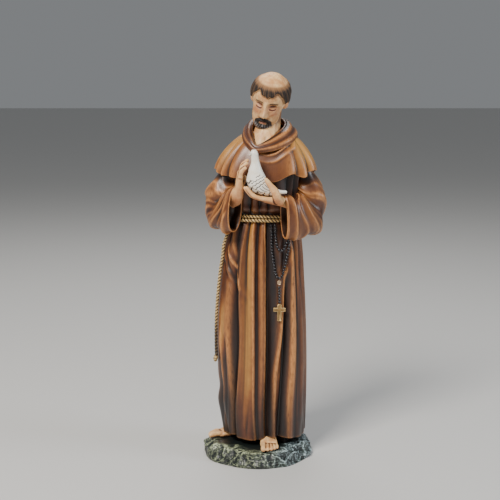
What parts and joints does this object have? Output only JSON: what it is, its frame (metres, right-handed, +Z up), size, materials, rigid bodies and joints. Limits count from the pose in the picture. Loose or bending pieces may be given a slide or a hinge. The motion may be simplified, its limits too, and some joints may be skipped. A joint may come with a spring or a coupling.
{
  "type": "saint francis statue",
  "caption": "Standing robed friar figurine with a shoulder cape, knotted waist cord and hanging rosary, holding a dove in both hands, on a low rock base.",
  "frame": {"origin": "middle of the rock base's flat underside", "axes": "+Z up along the standing figure, -Y the way the chest faces, +X to the figure's own left"},
  "size_m": [0.0821, 0.0711, 0.2564],
  "materials": {
    "robe_paint": "brown painted resin with a dark wash in the folds and dry-brushed ridges, satin varnish",
    "rock_paint": "dark green-black painted resin with light dry-brushed edges",
    "dove_paint": "cream white painted resin with a thin dark wash in the feather lines",
    "cord_paint": "cream gold painted resin with dark grooves",
    "rosary_loop_paint": "glossy black beads",
    "rosary_string_paint": "glossy black beads",
    "rosary_medal_metal": "dull brass",
    "rosary_cross_metal": "aged brass"
  },
  "bodies": {
    "root": {"friar_figure": "robe_paint", "rock_base": "rock_paint", "dove": "dove_paint", "waist_cord": "cord_paint", "rosary_loop": "rosary_loop_paint", "rosary_string": "rosary_string_paint", "rosary_medal": "rosary_medal_metal", "rosary_cross": "rosary_cross_metal"}
  },
  "joints": []
}
